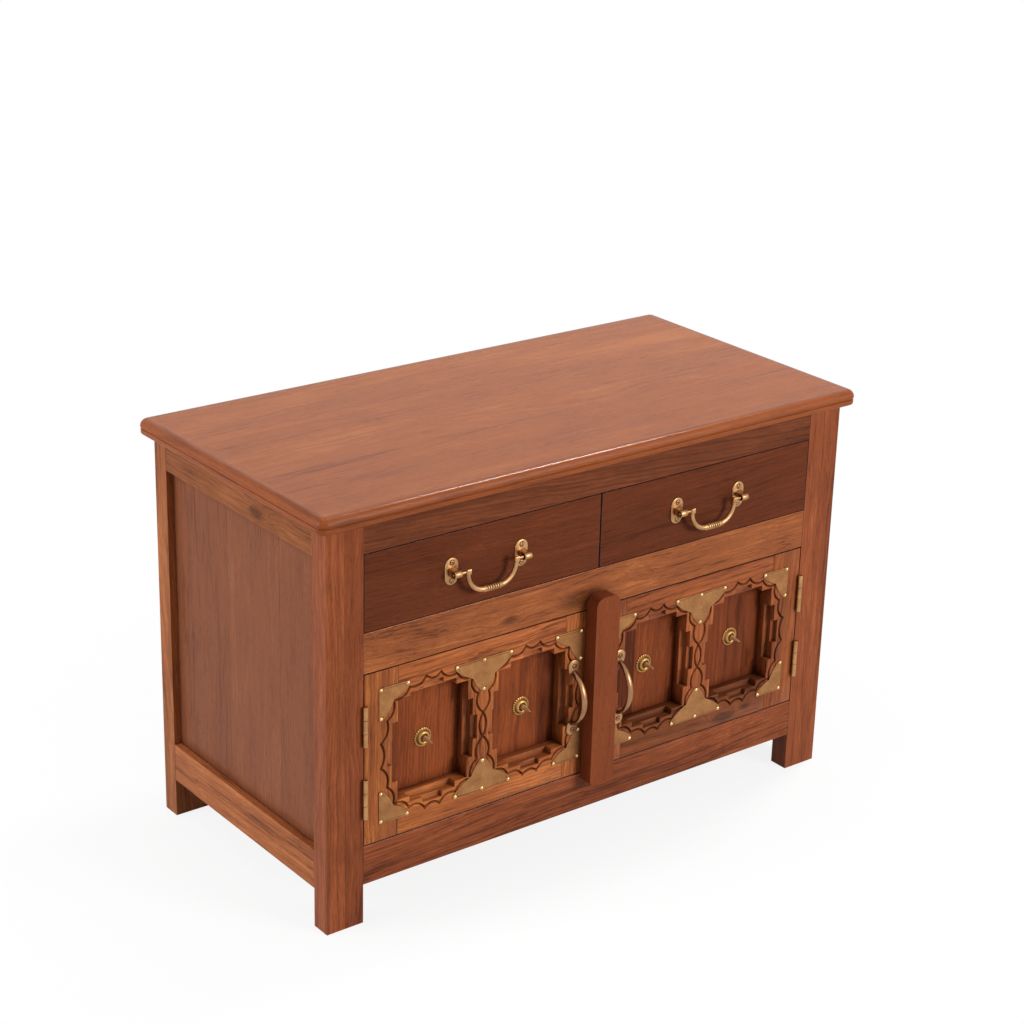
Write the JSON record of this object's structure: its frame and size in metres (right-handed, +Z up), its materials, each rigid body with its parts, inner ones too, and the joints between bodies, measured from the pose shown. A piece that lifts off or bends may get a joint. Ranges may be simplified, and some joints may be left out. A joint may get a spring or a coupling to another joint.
{
  "type": "carved storage cabinet",
  "caption": "Low carved wooden storage cabinet with drawers over hinged panelled doors, a thick overhanging top, brass bail and bow handles, corner plates and spiked rosettes.",
  "frame": {"origin": "on the floor, under the middle of the whole cabinet with its handles", "axes": "+X to the right seen from the front, +Y towards the back, +Z up"},
  "size_m": [0.915, 0.472, 0.595],
  "materials": {
    "slab_wood": "satin polish, soft cathedral figure",
    "frame_wood": "satin polish, straight grain with dark streaks",
    "panel_wood": "satin polish, upright grain",
    "drawer_wood": "satin polish, dark red brown, fine level grain",
    "door_wood": "satin polish, carved",
    "inner_wood": "bare, sanded",
    "antique_brass": "dull, aged",
    "polished_brass": "polished, a little worn",
    "hinge_brass": "drawn, satin"
  },
  "bodies": {
    "cabinet": {"back_bottom_rail": "frame_wood", "back_panel": "panel_wood", "back_runner_rail": "inner_wood", "back_top_rail": "frame_wood", "cupboard_floor": "inner_wood", "drawer_divider": "inner_wood", "drawer_runners": "inner_wood", "front_bottom_rail": "frame_wood", "front_middle_rail": "frame_wood", "front_top_rail": "frame_wood", "hinge_pins": "hinge_brass", "left_back_post": "frame_wood", "left_front_post": "frame_wood", "left_post_hinge_leaves": "hinge_brass", "left_side_bottom_rail": "frame_wood", "left_side_panel": "panel_wood", "left_side_top_rail": "frame_wood", "right_back_post": "frame_wood", "right_front_post": "frame_wood", "right_post_hinge_leaves": "hinge_brass", "right_side_bottom_rail": "frame_wood", "right_side_panel": "panel_wood", "right_side_top_rail": "frame_wood", "top_dowels": "inner_wood", "top_slab": "slab_wood"},
    "right_door": {"door_astragal": "door_wood", "right_door_bottom_rail": "door_wood", "right_door_handle": "polished_brass", "right_door_hinge_leaves": "hinge_brass", "right_door_hinge_stile": "door_wood", "right_door_meeting_stile": "door_wood", "right_door_muntin": "door_wood", "right_door_nails": "polished_brass", "right_door_panels": "door_wood", "right_door_plates": "antique_brass", "right_door_studs": "antique_brass", "right_door_top_rail": "door_wood"},
    "left_door": {"left_door_bottom_rail": "door_wood", "left_door_handle": "polished_brass", "left_door_hinge_leaves": "hinge_brass", "left_door_hinge_stile": "door_wood", "left_door_meeting_stile": "door_wood", "left_door_muntin": "door_wood", "left_door_nails": "polished_brass", "left_door_panels": "door_wood", "left_door_plates": "antique_brass", "left_door_studs": "antique_brass", "left_door_top_rail": "door_wood"},
    "left_drawer": {"left_bail_plates": "polished_brass", "left_drawer_back": "inner_wood", "left_drawer_bottom": "inner_wood", "left_drawer_front": "drawer_wood", "left_drawer_sides": "inner_wood"},
    "right_drawer": {"right_bail_plates": "polished_brass", "right_drawer_back": "inner_wood", "right_drawer_bottom": "inner_wood", "right_drawer_front": "drawer_wood", "right_drawer_sides": "inner_wood"},
    "left_bail": {"left_bail": "polished_brass"},
    "right_bail": {"right_bail": "polished_brass"}
  },
  "joints": [
    {"name": "right_door_hinge", "type": "hinge", "parent": "cabinet", "child": "right_door", "pos_m": [0.38275, -0.2086, 0.2385], "axis": [0, 0, 1], "range_deg": [0, 165]},
    {"name": "left_door_hinge", "type": "hinge", "parent": "cabinet", "child": "left_door", "pos_m": [-0.38275, -0.2086, 0.2385], "axis": [0, 0, -1], "range_deg": [0, 165]},
    {"name": "left_drawer_slide", "type": "slide", "parent": "cabinet", "child": "left_drawer", "axis": [0, -1, 0], "range_m": [0, 0.26]},
    {"name": "left_bail_hinge", "type": "hinge", "parent": "left_drawer", "child": "left_bail", "pos_m": [-0.19175, -0.2185, 0.4745], "axis": [-1, 0, 0], "range_deg": [-8, 110]},
    {"name": "right_drawer_slide", "type": "slide", "parent": "cabinet", "child": "right_drawer", "axis": [0, -1, 0], "range_m": [0, 0.26]},
    {"name": "right_bail_hinge", "type": "hinge", "parent": "right_drawer", "child": "right_bail", "pos_m": [0.19175, -0.2185, 0.4745], "axis": [-1, 0, 0], "range_deg": [-8, 110]}
  ],
  "couplings": [
    {"joint": "left_door_hinge", "follows": "right_door_hinge", "ratio": 1}
  ]
}
